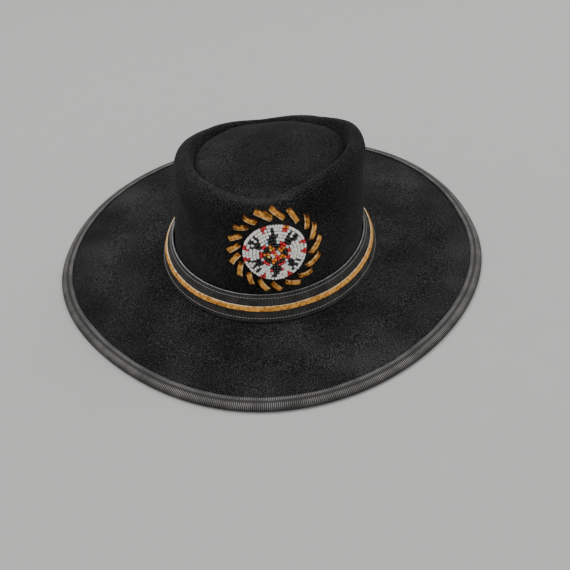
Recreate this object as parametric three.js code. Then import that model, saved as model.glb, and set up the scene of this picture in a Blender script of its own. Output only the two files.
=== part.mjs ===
// A black suede hat with a wide flat brim and a low telescope crown, in millimetres, with +Z up.
// The hat stands on its brim. Its front faces -Y, and its beaded rosette is on the front of the crown.
// The origin is on the ground, under the middle of the brim.
import * as THREE from "three";

// Sizes of the head opening and of the suede
const HEAD_WIDTH = 164.5;
const HEAD_DEPTH = 198;
const CROWN_SUEDE = 2;
const BRIM_SUEDE = 3;
const SEAM_GAP = 0.3;

// Sizes of the crown: its height above the brim, the lean of its wall and the rolled rim round its top
const CROWN_HEIGHT = 106;
const CROWN_LEAN = 12;
const FOOT_FLARE = 8;
const FOOT_HEIGHT = 15;
const RIM_WIDTH = 13.5;
const RIM_HEIGHT = 34;
const RIM_LEAST_SHARE = 0.5;
const RIM_BULGE = 4;
const GROOVE_DEPTH = 4;

// Sizes of the brim, measured out from the crown's wall
const BRIM_SIDE = 104.5;
const BRIM_FRONT = 102.6;
const BRIM_BACK = 99;
const BRIM_DROOP = 1.5;

// Sizes of the ribbon bound over the brim's edge
const BINDING_WIDTH = 9;
const BINDING_THICKNESS = 0.9;

// Sizes of the leather band round the crown's foot and of the lace laid along it
const BAND_WIDTH = 23;
const BAND_THICKNESS = 1.6;
const BAND_SLOPE = 62;
const BAND_BELLY = 0.3;
const BAND_STANDOFF = 0.8;
const BAND_LACE_WIDTH = 4.4;
const BAND_LACE_THICKNESS = 1;

// Sizes of the beaded rosette and of the laced stitches round it
const ROSETTE_DIAMETER = 50;
const ROSETTE_THICKNESS = 3.2;
const ROSETTE_BEVEL = 1.2;
const ROSETTE_DOME = 2.2;
const ROSETTE_SIDE = 5.6;
const ROSETTE_UP = 44.3;
const LACE_WIDTH = 4.7;
const LACE_THICKNESS = 1.6;
const LACE_ARCH = 1.4;
const LACE_GAP = 0.6;

// Steps of the meshes
const STEPS_AROUND = 72;
const ROSETTE_STEPS_AROUND = 36;
const LACE_STEPS = 5;
const FACE_REACH = 4;

// The crown's outer face from its foot to its flat top. Each row is one line round the crown.
// flare, lean, bulge and rim place it across, in shares of FOOT_FLARE, CROWN_LEAN, RIM_BULGE and RIM_WIDTH.
// up places it in height, as a share of what the level in the same row measures: see LEVELS.
const CROWN_LINES = [
  { name: "foot edge", level: "foot", up: 0, flare: 1, lean: 0, bulge: 0, rim: 0 },
  { name: "foot curve", level: "foot", up: 0.1, flare: 0.45, lean: 0, bulge: 0, rim: 0 },
  { name: "foot rise", level: "foot", up: 0.42, flare: 0.1, lean: 0, bulge: 0, rim: 0 },
  { name: "wall bottom", level: "wall", up: 0, flare: 0, lean: 0, bulge: 0, rim: 0 },
  { name: "wall middle", level: "wall", up: 0.5, flare: 0, lean: 0.36, bulge: 0.45, rim: 0 },
  { name: "neck", level: "wall", up: 1, flare: 0, lean: 0.72, bulge: 0.15, rim: 0 },
  { name: "rim underside", level: "rim", up: 0.25, flare: 0, lean: 0.8, bulge: 0.7, rim: 0 },
  { name: "rim side", level: "rim", up: 0.55, flare: 0, lean: 0.89, bulge: 1, rim: 0 },
  { name: "rim shoulder", level: "rim", up: 0.82, flare: 0, lean: 0.97, bulge: 0.8, rim: 0.1 },
  { name: "rim outer crest", level: "rim", up: 0.96, flare: 0, lean: 1, bulge: 0.3, rim: 0.25 },
  { name: "rim crest", level: "rim", up: 1, flare: 0, lean: 1, bulge: 0, rim: 0.45 },
  { name: "rim inner crest", level: "inside", up: 0.15, flare: 0, lean: 1, bulge: 0, rim: 0.7 },
  { name: "groove wall", level: "inside", up: 0.6, flare: 0, lean: 1, bulge: 0, rim: 0.9 },
  { name: "groove bottom", level: "inside", up: 1, flare: 0, lean: 1, bulge: 0, rim: 1.03 },
  { name: "plateau edge", level: "plateau", up: 0.6, flare: 0, lean: 1, bulge: 0, rim: 1.17 },
  { name: "plateau rise", level: "plateau", up: 1, flare: 0, lean: 1, bulge: 0, rim: 1.4 },
];

// The flat top inside the last of those lines, in shares of that line's distance from the middle
const PLATEAU_RINGS = [0.75, 0.45, 0.18];

// The height of the flat top's middle, as a share of CROWN_HEIGHT
const PLATEAU_MIDDLE = 0.905;

// The crown seen from above, at angles in degrees from the hat's left side, +X, round by its back.
// crest and plateau are the heights of the rim and of the flat top's edge, in shares of CROWN_HEIGHT.
// lean is a share of CROWN_LEAN, and roll is how much of the rim's bulge and groove shows there.
const CROWN_RIM = [
  { name: "left", at: 0, crest: 1, plateau: 0.92, lean: 0, roll: 1 },
  { name: "back left", at: 45, crest: 0.86, plateau: 0.84, lean: 0.7, roll: 0.8 },
  { name: "back", at: 90, crest: 0.79, plateau: 0.785, lean: 1.5, roll: 0.2 },
  { name: "back right", at: 135, crest: 0.865, plateau: 0.84, lean: 1.5, roll: 0.8 },
  { name: "right", at: 180, crest: 0.97, plateau: 0.9, lean: 1.25, roll: 1 },
  { name: "front right", at: 225, crest: 0.99, plateau: 0.9, lean: 1, roll: 0.8 },
  { name: "dip's right side", at: 248, crest: 0.95, plateau: 0.88, lean: 0.6, roll: 0.2 },
  { name: "front dip", at: 272, crest: 0.935, plateau: 0.87, lean: 0.45, roll: 0.1 },
  { name: "dip's left side", at: 294, crest: 0.98, plateau: 0.89, lean: 0.45, roll: 0.2 },
  { name: "front left", at: 317, crest: 1.02, plateau: 0.92, lean: 0.4, roll: 0.8 },
];

// The brim's lines from the band's outer edge, where out is 0, to the binding's inner edge, where it is 1.
const BRIM_LINES = [
  { name: "beside the band", out: 0 },
  { name: "inner slope", out: 0.25 },
  { name: "middle slope", out: 0.5 },
  { name: "outer slope", out: 0.75 },
  { name: "under the binding", out: 1 },
];

// The ribbon's section, from its leaf on the brim's top, round the edge, to its leaf below and back inside.
// edge is 0 at the leaf's inner end and 1 at the brim's edge, side is 1 above and -1 below the brim's
// middle, skin is 1 on the ribbon's outer face, and past is how far the fold stands out past the edge.
const BINDING_SECTION = [
  { edge: 0, side: 1, skin: 1, past: 0 },
  { edge: 1, side: 1, skin: 1, past: 0 },
  { edge: 1, side: 0.6, skin: 1, past: 1 },
  { edge: 1, side: -0.6, skin: 1, past: 1 },
  { edge: 1, side: -1, skin: 1, past: 0 },
  { edge: 0, side: -1, skin: 1, past: 0 },
  { edge: 0, side: -1, skin: 0, past: 0 },
  { edge: 1, side: -1, skin: 0, past: 0 },
  { edge: 1, side: 1, skin: 0, past: 0 },
  { edge: 0, side: 1, skin: 0, past: 0 },
];

// The band's section along its width, in shares of BAND_WIDTH and BAND_BELLY. The lace lies on its middle.
const BAND_SECTION = [
  { along: 0, belly: 0 },
  { along: 0.36, belly: 1 },
  { along: 0.64, belly: 1 },
  { along: 1, belly: 0 },
];

// The laced stitches, clockwise from the top as seen from the front. outerAt and innerAt are the angles of
// a stitch's two ends round the rosette, in degrees from the hat's left side, and outer and inner are their
// distances from its middle, in shares of its radius.
const LACE_STITCHES = [
  { outerAt: 90.5, outer: 1.52, innerAt: 69.5, inner: 1.20 },
  { outerAt: 68.5, outer: 1.51, innerAt: 46.5, inner: 1.20 },
  { outerAt: 43.5, outer: 1.55, innerAt: 26, inner: 1.21 },
  { outerAt: 26, outer: 1.54, innerAt: 5.5, inner: 1.21 },
  { outerAt: 4.5, outer: 1.55, innerAt: -18, inner: 1.18 },
  { outerAt: -18, outer: 1.54, innerAt: -39, inner: 1.24 },
  { outerAt: -40, outer: 1.53, innerAt: -57.5, inner: 1.25 },
  { outerAt: -60, outer: 1.49, innerAt: -78.5, inner: 1.19 },
  { outerAt: -85.5, outer: 1.44, innerAt: -99, inner: 1.14 },
  { outerAt: -102.5, outer: 1.43, innerAt: -120, inner: 1.14 },
  { outerAt: -124, outer: 1.44, innerAt: -141, inner: 1.14 },
  { outerAt: -142.5, outer: 1.49, innerAt: -162.5, inner: 1.15 },
  { outerAt: -162.5, outer: 1.52, innerAt: -177, inner: 1.16 },
  { outerAt: -179, outer: 1.55, innerAt: -194, inner: 1.16 },
  { outerAt: -196, outer: 1.54, innerAt: -211, inner: 1.20 },
  { outerAt: -215, outer: 1.57, innerAt: -231, inner: 1.21 },
  { outerAt: -235, outer: 1.56, innerAt: -247, inner: 1.20 },
  { outerAt: -250, outer: 1.54, innerAt: -270.5, inner: 1.17 },
];

// How far the brim's outline reaches on each diagonal, as a share of a plain oval's, round from the back left
const BRIM_DIAGONALS = [
  { at: 45, share: 1.029 },
  { at: 135, share: 1.015 },
  { at: 225, share: 0.962 },
  { at: 315, share: 0.98 },
];

// Heights and reaches that follow from the sizes above
const EDGE_MIDDLE = BINDING_THICKNESS + SEAM_GAP + BRIM_SUEDE / 2;
const SEAT_MIDDLE = EDGE_MIDDLE + BRIM_DROOP;
const CROWN_SEAT = SEAT_MIDDLE + BRIM_SUEDE / 2 + SEAM_GAP;
const FRONT = -Math.PI / 2;

const { degToRad, euclideanModulo, lerp, radToDeg, smoothstep } = THREE.MathUtils;
const ease = (share) => smoothstep(share, 0, 1);
const around = (steps, sectionAt) =>
  Array.from({ length: steps }, (_, i) => sectionAt((2 * Math.PI * i) / steps));

// A column of CROWN_RIM at any angle, eased from each row to the next.
function rimValue(column, angle) {
  const degrees = euclideanModulo(radToDeg(angle), 360);
  const last = CROWN_RIM.findLast((row) => row.at <= degrees + 1e-9);
  const next = CROWN_RIM[(CROWN_RIM.indexOf(last) + 1) % CROWN_RIM.length];
  const span = euclideanModulo(next.at - last.at, 360);
  return lerp(last[column], next[column], ease((degrees - last.at) / span));
}

// The point at an angle round the crown's oval, moved out from its wall, seen from above.
function ovalPoint(angle, outset) {
  const halfWidth = HEAD_WIDTH / 2 + CROWN_SUEDE;
  const halfDepth = HEAD_DEPTH / 2 + CROWN_SUEDE;
  const plan = new THREE.Vector3(halfWidth * Math.cos(angle), halfDepth * Math.sin(angle), 0);
  const normal = new THREE.Vector3(halfDepth * Math.cos(angle), halfWidth * Math.sin(angle), 0).normalize();
  return plan.addScaledVector(normal, outset);
}

// The same point, at a height above the crown's seat on the brim.
function crownPoint(angle, outset, height) {
  return ovalPoint(angle, outset).setZ(CROWN_SEAT + height);
}

// A geometry from points and triangles, turned over if its faces point in.
function solidGeometry(points, index) {
  let volume = 0;
  for (let i = 0; i < index.length; i += 3) {
    const [a, b, c] = [points[index[i]], points[index[i + 1]], points[index[i + 2]]];
    volume += a.dot(new THREE.Vector3().crossVectors(b, c));
  }
  if (volume < 0) index.reverse();
  const geometry = new THREE.BufferGeometry().setFromPoints(points).setIndex(index);
  geometry.computeVertexNormals();
  return geometry;
}

// The two triangles of each quad between one row of points and the next. Both rows close on themselves if
// closed is true.
function stitchRows(here, there, across, closed) {
  const index = [];
  for (let j = 0; j < (closed ? across : across - 1); j++) {
    const next = (j + 1) % across;
    index.push(here + j, there + j, there + next, here + j, there + next, here + next);
  }
  return index;
}

// A ring: closed sections set round a loop.
function ringGeometry(sections) {
  const across = sections[0].length;
  const index = sections.flatMap((_, i) =>
    stitchRows(i * across, ((i + 1) % sections.length) * across, across, true),
  );
  return solidGeometry(sections.flat(), index);
}

// A cap or a disc: open sections set round a loop, which run from one middle point to the other.
function capGeometry(sections, firstMiddle, lastMiddle) {
  const across = sections[0].length;
  const first = sections.length * across;
  const index = sections.flatMap((_, i) => {
    const here = i * across;
    const there = ((i + 1) % sections.length) * across;
    return [
      ...stitchRows(here, there, across, false),
      ...[first, there, here],
      ...[here + across - 1, there + across - 1, first + 1],
    ];
  });
  return solidGeometry([...sections.flat(), firstMiddle, lastMiddle], index);
}

// A strip: closed sections set along a line, with a flat end at each end.
function stripGeometry(sections) {
  const across = sections[0].length;
  const last = (sections.length - 1) * across;
  const index = sections.slice(1).flatMap((_, i) => stitchRows(i * across, (i + 1) * across, across, true));
  for (let j = 1; j < across - 1; j++) {
    index.push(0, j, j + 1, last, last + j + 1, last + j);
  }
  return solidGeometry(sections.flat(), index);
}

// What each level in CROWN_LINES measures from: the foot on the brim, the wall up to the neck, the rim from
// the neck to its crest, its inside down to the groove, and the plateau from the groove up.
const LEVELS = {
  foot: (up) => CROWN_SUEDE + up * (FOOT_HEIGHT - CROWN_SUEDE),
  wall: (up, rim) => lerp(FOOT_HEIGHT, rim.neck, up),
  rim: (up, rim) => lerp(rim.neck, rim.crest, up),
  inside: (up, rim) => lerp(rim.crest, rim.plateau - rim.groove, up),
  plateau: (up, rim) => rim.plateau - rim.groove * (1 - up),
};

// The rim's sizes at one angle.
function rimAt(angle) {
  const roll = rimValue("roll", angle);
  const fullness = lerp(RIM_LEAST_SHARE, 1, roll);
  const crest = CROWN_HEIGHT * rimValue("crest", angle);
  return {
    crest,
    neck: crest - RIM_HEIGHT * fullness,
    plateau: CROWN_HEIGHT * rimValue("plateau", angle),
    groove: GROOVE_DEPTH * roll,
    lean: CROWN_LEAN * rimValue("lean", angle),
    bulge: RIM_BULGE * roll,
    width: RIM_WIDTH * fullness,
  };
}

// The crown's outer face at one angle, from its foot to its middle.
function crownProfile(angle) {
  const rim = rimAt(angle);
  const lines = CROWN_LINES.map((row) => {
    const inset = row.lean * rim.lean - row.bulge * rim.bulge + row.rim * rim.width;
    return crownPoint(angle, row.flare * FOOT_FLARE - inset, LEVELS[row.level](row.up, rim));
  });
  const edge = lines.at(-1);
  const plateau = PLATEAU_RINGS.map((share) => {
    const height = lerp(PLATEAU_MIDDLE * CROWN_HEIGHT, rim.plateau, share * share);
    return new THREE.Vector3(edge.x * share, edge.y * share, CROWN_SEAT + height);
  });
  return [...lines, ...plateau];
}

// The crown's shell: its outer face and the same face moved in by the suede's thickness.
function crownGeometry() {
  const outer = around(STEPS_AROUND, crownProfile);
  const steps = outer.length;
  const inner = outer.map((profile, i) =>
    profile.map((point, j) => {
      if (j === 0) return point.clone().setZ(point.z - CROWN_SUEDE);
      const alongRing = outer[(i + 1) % steps][j].clone().sub(outer[(i + steps - 1) % steps][j]);
      const alongProfile = profile[Math.min(j + 1, profile.length - 1)].clone().sub(profile[j - 1]);
      const inward = alongProfile.cross(alongRing).normalize();
      return point.clone().addScaledVector(inward, CROWN_SUEDE);
    }),
  );
  const sections = outer.map((profile, i) => [...profile.toReversed(), ...inner[i]]);
  const middle = new THREE.Vector3(0, 0, CROWN_SEAT + PLATEAU_MIDDLE * CROWN_HEIGHT);
  return capGeometry(sections, middle, middle.clone().setZ(middle.z - CROWN_SUEDE));
}

// The point of the crown's face at an angle, a distance up along it from the bottom of its wall.
function facePoint(angle, along) {
  const face = crownProfile(angle).slice(CROWN_LINES.findIndex((row) => row.level === "wall"));
  let left = along;
  let i = 1;
  while (i < face.length - 1 && left > face[i].distanceTo(face[i - 1])) {
    left -= face[i].distanceTo(face[i - 1]);
    i += 1;
  }
  return face[i - 1].clone().lerp(face[i], left / face[i].distanceTo(face[i - 1]));
}

// The same point, moved straight out from the face.
function offFace(angle, along, out) {
  const rise = facePoint(angle, along + FACE_REACH).sub(facePoint(angle, along - FACE_REACH));
  const side = ovalPoint(angle, 1).sub(ovalPoint(angle, 0));
  const outward = side.multiplyScalar(rise.z).add(new THREE.Vector3(0, 0, -rise.dot(side))).normalize();
  return facePoint(angle, along).addScaledVector(outward, out);
}

// How far the band's foot stands out from the wall, to its inner face and to its outer face.
const BAND_INNER_REACH = BAND_STANDOFF + BAND_WIDTH * Math.cos(degToRad(BAND_SLOPE));
const BAND_REACH = BAND_INNER_REACH + BAND_THICKNESS * Math.sin(degToRad(BAND_SLOPE));

// A point of the band: along its width from its foot, and out from its inner face.
function bandPoint(angle, along, out) {
  const slope = degToRad(BAND_SLOPE);
  const outset = BAND_INNER_REACH - along * Math.cos(slope) + out * Math.sin(slope);
  return crownPoint(angle, outset, along * Math.sin(slope) + out * Math.cos(slope));
}

function bandGeometry() {
  return ringGeometry(
    around(STEPS_AROUND, (angle) => [
      ...BAND_SECTION.map((row) => bandPoint(angle, row.along * BAND_WIDTH, row.belly * BAND_BELLY)),
      ...BAND_SECTION.map((row) =>
        bandPoint(angle, row.along * BAND_WIDTH, row.belly * BAND_BELLY + BAND_THICKNESS),
      ).reverse(),
    ]),
  );
}

function bandLaceGeometry() {
  const face = BAND_BELLY + BAND_THICKNESS + SEAM_GAP;
  const low = (BAND_WIDTH - BAND_LACE_WIDTH) / 2;
  const high = low + BAND_LACE_WIDTH;
  return ringGeometry(
    around(STEPS_AROUND, (angle) => [
      bandPoint(angle, low, face),
      bandPoint(angle, high, face),
      bandPoint(angle, high, face + BAND_LACE_THICKNESS),
      bandPoint(angle, low, face + BAND_LACE_THICKNESS),
    ]),
  );
}

// The brim's outline, seen from above: an oval that is fuller at the back and drawn in at the front.
function brimEdge(angle) {
  const halfWidth = HEAD_WIDTH / 2 + CROWN_SUEDE + BRIM_SIDE;
  const reach = Math.sin(angle) < 0 ? BRIM_FRONT : BRIM_BACK;
  const halfDepth = HEAD_DEPTH / 2 + CROWN_SUEDE + reach;
  const turned = ((THREE.MathUtils.radToDeg(angle) % 360) + 360) % 360;
  const diagonal = BRIM_DIAGONALS.find((row) => Math.abs(turned - row.at) <= 45);
  const drawn = lerp(1, diagonal.share, Math.sin(2 * angle) ** 2);
  return new THREE.Vector3(drawn * halfWidth * Math.cos(angle), drawn * halfDepth * Math.sin(angle), 0);
}

// The brim's middle face at one angle, on each of its lines from the opening to the edge.
function brimMiddle(angle) {
  const seat = ovalPoint(angle, BAND_REACH);
  const edge = brimEdge(angle);
  const bound = BINDING_WIDTH / edge.distanceTo(seat);
  const lines = BRIM_LINES.map((row) => {
    const height = lerp(SEAT_MIDDLE, EDGE_MIDDLE, ease(row.out));
    return seat.clone().lerp(edge, row.out * (1 - bound)).setZ(height);
  });
  return [ovalPoint(angle, -CROWN_SUEDE).setZ(SEAT_MIDDLE), ...lines, edge.setZ(EDGE_MIDDLE)];
}

function brimGeometry() {
  const raise = (point, by) => point.clone().setZ(point.z + by);
  return ringGeometry(
    around(STEPS_AROUND, (angle) => {
      const middle = brimMiddle(angle);
      return [
        ...middle.map((point) => raise(point, BRIM_SUEDE / 2)),
        ...middle.map((point) => raise(point, -BRIM_SUEDE / 2)).reverse(),
      ];
    }),
  );
}

function bindingGeometry() {
  return ringGeometry(
    around(STEPS_AROUND, (angle) => {
      const [inner, edge] = brimMiddle(angle).slice(-2);
      const outward = edge.clone().sub(inner).setZ(0).normalize();
      return BINDING_SECTION.map((row) => {
        const past = row.skin ? row.past * (SEAM_GAP + BINDING_THICKNESS) : row.edge * SEAM_GAP;
        const height = row.side * (BRIM_SUEDE / 2 + SEAM_GAP + row.skin * BINDING_THICKNESS);
        const point = (row.edge ? edge : inner).clone().addScaledVector(outward, past);
        return point.setZ(point.z + height);
      });
    }),
  );
}

// A point on the crown's front, to the left and up from the rosette's middle along its face, and out from it.
function frontPoint(left, up, out) {
  const angle = FRONT + (ROSETTE_SIDE + left) / (HEAD_WIDTH / 2 + CROWN_SUEDE);
  return offFace(angle, ROSETTE_UP + up, out);
}

function rosetteGeometry() {
  const radius = ROSETTE_DIAMETER / 2;
  const top = SEAM_GAP + ROSETTE_THICKNESS;
  const dome = (share) => top + ROSETTE_DOME * (1 - share * share);
  const lines = [
    { out: dome(1 / 3), share: 1 / 3 },
    { out: dome(2 / 3), share: 2 / 3 },
    { out: top, share: 1 - ROSETTE_BEVEL / radius },
    { out: top - ROSETTE_BEVEL, share: 1 },
    { out: SEAM_GAP, share: 1 },
    { out: SEAM_GAP, share: 2 / 3 },
    { out: SEAM_GAP, share: 1 / 3 },
  ];
  const sections = around(ROSETTE_STEPS_AROUND, (angle) =>
    lines.map(({ out, share }) =>
      frontPoint(radius * share * Math.cos(angle), radius * share * Math.sin(angle), out),
    ),
  );
  return capGeometry(sections, frontPoint(0, 0, dome(0)), frontPoint(0, 0, SEAM_GAP));
}

// One stitch: a flat lace that rises from a hole by the rosette, arches over and goes into a hole outside it.
function stitchGeometry({ outerAt, outer, innerAt, inner }) {
  const radius = ROSETTE_DIAMETER / 2;
  const end = (at, share) =>
    new THREE.Vector2(Math.cos(degToRad(at)), Math.sin(degToRad(at))).multiplyScalar(radius * share);
  const start = end(innerAt, inner);
  const finish = end(outerAt, outer);
  const run = finish.clone().sub(start);
  const across = new THREE.Vector2(-run.y, run.x).setLength(LACE_WIDTH / 2);
  return stripGeometry(
    Array.from({ length: LACE_STEPS + 1 }, (_, i) => {
      const share = i / LACE_STEPS;
      const middle = start.clone().lerp(finish, share);
      const low = LACE_GAP + LACE_ARCH * Math.sin(Math.PI * share);
      const point = (side, out) => frontPoint(middle.x + side * across.x, middle.y + side * across.y, out);
      return [point(-1, low), point(1, low), point(1, low + LACE_THICKNESS), point(-1, low + LACE_THICKNESS)];
    }),
  );
}

const blackSuede = new THREE.MeshStandardMaterial({ color: 0x121214, roughness: 1 });
const blackRibbon = new THREE.MeshStandardMaterial({ color: 0x2b2b2e, roughness: 0.8 });
const blackLeather = new THREE.MeshStandardMaterial({ color: 0x161618, roughness: 0.55 });
const tanSuede = new THREE.MeshStandardMaterial({ color: 0xa5682c, roughness: 0.95 });
const whiteBeads = new THREE.MeshStandardMaterial({ color: 0xe8e4dc, roughness: 0.3 });

function named(name, geometry, material) {
  const mesh = new THREE.Mesh(geometry, material);
  mesh.name = name;
  return mesh;
}

// The hat is drawn round its head opening, then moved so that the middle of its brim is at the origin.
const hat = new THREE.Group();
hat.position.y = (BRIM_FRONT - BRIM_BACK) / 2;
hat.add(named("crown", crownGeometry(), blackSuede));
hat.add(named("brim", brimGeometry(), blackSuede));
hat.add(named("brim_binding", bindingGeometry(), blackRibbon));
hat.add(named("hat_band", bandGeometry(), blackLeather));
hat.add(named("band_lace", bandLaceGeometry(), tanSuede));
hat.add(named("rosette", rosetteGeometry(), whiteBeads));
LACE_STITCHES.forEach((stitch, i) => {
  hat.add(named(`lace_stitch_${String(i + 1).padStart(2, "0")}`, stitchGeometry(stitch), tanSuede));
});

export default hat;
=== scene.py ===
"""Looks of a black suede hat with a wide flat brim, a leather band and a beaded rosette.

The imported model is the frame. Each of its pieces is made again here as a fine mesh from the same sizes,
with the thread, the ribs and the seed beads that the frame leaves out. Sizes are in millimetres, and
meshes are written in metres. The hat's front faces -Y and the wearer's left is +X.
"""

import logging
import math
from dataclasses import dataclass, field
from enum import Enum

import bpy
import numpy as np
from mathutils import Matrix, Vector, noise

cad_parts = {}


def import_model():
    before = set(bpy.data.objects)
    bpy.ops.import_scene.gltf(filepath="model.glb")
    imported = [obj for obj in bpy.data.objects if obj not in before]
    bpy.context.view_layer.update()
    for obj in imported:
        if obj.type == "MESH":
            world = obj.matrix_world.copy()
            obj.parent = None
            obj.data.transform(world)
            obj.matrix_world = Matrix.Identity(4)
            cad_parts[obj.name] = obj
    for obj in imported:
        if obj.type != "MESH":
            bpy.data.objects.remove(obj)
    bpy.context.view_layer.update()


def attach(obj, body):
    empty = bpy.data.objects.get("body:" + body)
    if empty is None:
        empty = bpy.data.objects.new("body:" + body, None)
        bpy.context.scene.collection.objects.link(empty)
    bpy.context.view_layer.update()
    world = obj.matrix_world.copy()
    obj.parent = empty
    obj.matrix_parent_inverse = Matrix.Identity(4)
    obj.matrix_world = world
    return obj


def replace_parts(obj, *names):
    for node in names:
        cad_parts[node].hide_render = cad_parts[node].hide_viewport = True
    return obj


log = logging.getLogger("suede_hat")

MM = 0.001
FRONT = -math.pi / 2

# a few numbers that belong together, such as a colour or a line of a table
Row = tuple[float, ...]
# a place and the ways left, up and out there
Ways = tuple[np.ndarray, np.ndarray, np.ndarray, np.ndarray]
Material = bpy.types.Material
Piece = bpy.types.Object
Socket = bpy.types.NodeSocket

# where a node that mixes colours has its share, its two colours and its result
MIX_INPUTS = (0, 6, 7)
MIX_RESULT = 2


class BeadColour(Enum):
    """The colours of the rosette's seed beads, as linear red, green and blue."""

    IVORY = (0.98, 0.97, 0.93)
    PALE_BLUE = (0.66, 0.82, 0.9)
    BLACK = (0.006, 0.005, 0.005)
    RED = (0.62, 0.012, 0.02)
    ORANGE = (0.85, 0.24, 0.012)
    YELLOW = (0.86, 0.55, 0.10)


class Recipe:
    """A material's nodes while they are being joined up."""

    def __init__(self, name: str) -> None:
        """Starts a material with one principled shader.

        Args:
            name: The material's name.
        """
        self.material = bpy.data.materials.new(name)
        self.material.use_nodes = True
        self.tree = self.material.node_tree
        self.shader = self.tree.nodes["Principled BSDF"]

    def feed(self, socket: Socket, value: object) -> None:
        """Gives an input socket its value.

        Args:
            socket: The input socket.
            value: The value, or the output socket that it comes from.
        """
        if isinstance(value, Socket):
            self.tree.links.new(value, socket)
        elif socket.type == "RGBA" and len(value) == 3:
            socket.default_value = (*value, 1.0)
        else:
            socket.default_value = value

    def add(self, kind: str, settings: dict[str, object], sockets: dict[str, object]) -> bpy.types.Node:
        """Adds one node.

        Args:
            kind: The node's type name.
            settings: Values of the node's own properties.
            sockets: Values or other nodes' output sockets, by input name.

        Returns:
            The new node.
        """
        node = self.tree.nodes.new(kind)
        for key, value in settings.items():
            setattr(node, key, value)
        for key, value in sockets.items():
            self.feed(node.inputs[key], value)
        return node

    def place(self) -> Socket:
        """Returns the place on the piece, in metres."""
        return self.add("ShaderNodeTexCoord", {}, {}).outputs["Object"]

    def painted(self, name: str) -> Socket:
        """Returns the number that is painted on the mesh under a name."""
        return self.add("ShaderNodeAttribute", {"attribute_name": name}, {}).outputs["Fac"]

    def grain(self, scale: float, detail: float = 3.0, roughness: float = 0.6) -> Socket:
        """Adds a noise.

        Args:
            scale: How many grains there are to a metre.
            detail: How many finer layers there are.
            roughness: How strong the finer layers are.

        Returns:
            The noise's strength, about 0.5 on average.
        """
        values = {"Vector": self.place(), "Scale": scale, "Detail": detail, "Roughness": roughness}
        return self.add("ShaderNodeTexNoise", {}, values).outputs["Fac"]

    def ramp(self, factor: Socket, places: Row, colours: tuple[Row, ...]) -> Socket:
        """Adds a colour ramp.

        Args:
            factor: What the ramp reads.
            places: Where each colour stands, from 0 to 1.
            colours: The red, green and blue of each.

        Returns:
            The ramp's colour.
        """
        node = self.add("ShaderNodeValToRGB", {}, {"Fac": factor})
        elements = node.color_ramp.elements
        while len(elements) < len(places):
            elements.new(0.5)
        for element, at, colour in zip(elements, places, colours):
            element.position = at
            element.color = (*colour, 1.0)
        return node.outputs["Color"]

    def maths(self, operation: str, first: object, second: object) -> Socket:
        """Adds a sum of two values or sockets.

        Args:
            operation: The sum, such as MULTIPLY.
            first: The first value or socket.
            second: The second value or socket.

        Returns:
            The result.
        """
        node = self.add("ShaderNodeMath", {"operation": operation}, {})
        for socket, value in zip(node.inputs, (first, second)):
            self.feed(socket, value)
        return node.outputs[0]

    def weigh(self, *parts: tuple[Socket, float]) -> Socket:
        """Adds sockets up by weight.

        Args:
            parts: Each socket, with its weight.

        Returns:
            Their weighted sum.
        """
        total, *others = [self.maths("MULTIPLY", socket, weight) for socket, weight in parts]
        for other in others:
            total = self.maths("ADD", total, other)
        return total

    def mix(self, share: object, first: object, second: object) -> Socket:
        """Mixes two colours.

        Args:
            share: How much of the second colour there is.
            first: The first colour or socket.
            second: The second colour or socket.

        Returns:
            The mixed colour.
        """
        node = self.add("ShaderNodeMix", {"data_type": "RGBA"}, {})
        for at, value in zip(MIX_INPUTS, (share, first, second)):
            self.feed(node.inputs[at], value)
        return node.outputs[MIX_RESULT]

    def bump(self, height: Socket, strength: float, distance: float) -> None:
        """Gives the shader a bump.

        Args:
            height: The bump's height, from 0 to 1.
            strength: How strong the bump is.
            distance: How high it is, in metres.
        """
        values = {"Height": height, "Strength": strength, "Distance": distance}
        self.feed(self.shader.inputs["Normal"], self.add("ShaderNodeBump", {}, values).outputs["Normal"])

    def finish(self, values: dict[str, object]) -> Material:
        """Sets the shader's inputs.

        Args:
            values: Values or sockets, by input name.

        Returns:
            The finished material.
        """
        for key, value in values.items():
            self.feed(self.shader.inputs[key], value)
        return self.material


@dataclass(frozen=True)
class NappedSuede:
    """Black suede with a short nap, brushed smudges and a little pale lint."""

    name: str = "black_suede"
    dark: Row = (0.0022, 0.0022, 0.0023)
    middle: Row = (0.0115, 0.0116, 0.0118)
    light: Row = (0.09, 0.09, 0.091)
    lint: Row = (0.45, 0.45, 0.43)
    tone_places: Row = (0.39, 0.5, 0.63)
    nap_scale: float = 1150.0
    fleck_scale: float = 2600.0
    smudge_scale: float = 16.0
    nap_share: float = 0.6
    smudge_share: float = 0.18
    lint_scale: float = 62.0
    # how much the whole colour is scaled; the crown's copy is darker than the brim's, as painted shade
    shade: float = 1.0
    lint_size: float = 0.016

    def make(self) -> Material:
        """Returns the material."""
        recipe = Recipe(self.name)
        nap = recipe.grain(self.nap_scale, 1.0, 0.7)
        fleck = recipe.grain(self.fleck_scale, 2.0, 0.7)
        smudge = recipe.grain(self.smudge_scale, 2.0, 0.5)
        fibres = recipe.weigh((nap, self.nap_share), (fleck, 1 - self.nap_share))
        height = recipe.weigh((fibres, 1 - self.smudge_share), (smudge, self.smudge_share))
        tones = [tuple(self.shade * part for part in tone) for tone in (self.dark, self.middle, self.light)]
        colour = recipe.ramp(height, self.tone_places, tuple(tones))
        cells = recipe.add("ShaderNodeTexVoronoi", {}, {"Vector": recipe.place(), "Scale": self.lint_scale})
        near = recipe.maths("LESS_THAN", cells.outputs["Distance"], self.lint_size)
        speck = recipe.mix(near, colour, self.lint)
        recipe.bump(fibres, 0.7, 0.0007)
        values = {"Base Color": speck, "Roughness": 1.0, "Specular IOR Level": 0.06}
        sheen = {"Sheen Weight": 0.03, "Sheen Roughness": 0.45, "Sheen Tint": (1.0, 1.0, 1.0, 1.0)}
        return recipe.finish({**values, **sheen})


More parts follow.
